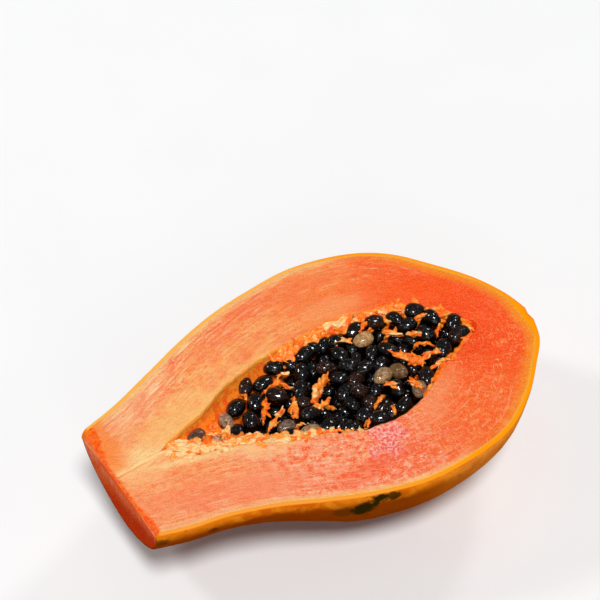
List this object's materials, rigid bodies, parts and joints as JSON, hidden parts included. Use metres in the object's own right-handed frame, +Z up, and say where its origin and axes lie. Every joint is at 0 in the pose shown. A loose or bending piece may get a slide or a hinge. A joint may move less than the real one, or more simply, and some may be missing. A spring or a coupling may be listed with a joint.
{
  "type": "papaya half",
  "caption": "Half of a ripe papaya, cut lengthwise with its stem end trimmed off, lying on its skin with its seed-filled hollow facing up.",
  "frame": {"origin": "centre of the footprint, on the surface that the half rests on", "axes": "+X runs along the fruit towards its blossom end, +Y across it, +Z up out of the cut face"},
  "size_m": [0.154, 0.0994, 0.0467],
  "materials": {
    "skin": "smooth waxy fruit peel, yellow-orange with darker blotches",
    "flesh": "moist cut fruit flesh, salmon orange, with faint lengthwise fibres",
    "pulp": "wet stringy pulp, pale orange",
    "seeds": "glossy wet black seeds",
    "pale_seeds": "glossy seeds that stayed pale, tan to grey"
  },
  "bodies": {
    "root": {"skin": "skin", "flesh": "flesh", "pulp": "pulp", "seeds": "seeds", "pale_seed_1": "pale_seeds", "pale_seed_2": "pale_seeds", "pale_seed_3": "pale_seeds", "pale_seed_4": "pale_seeds", "pale_seed_5": "pale_seeds", "pale_seed_6": "pale_seeds", "pale_seed_7": "pale_seeds", "pale_seed_8": "pale_seeds"}
  },
  "joints": []
}
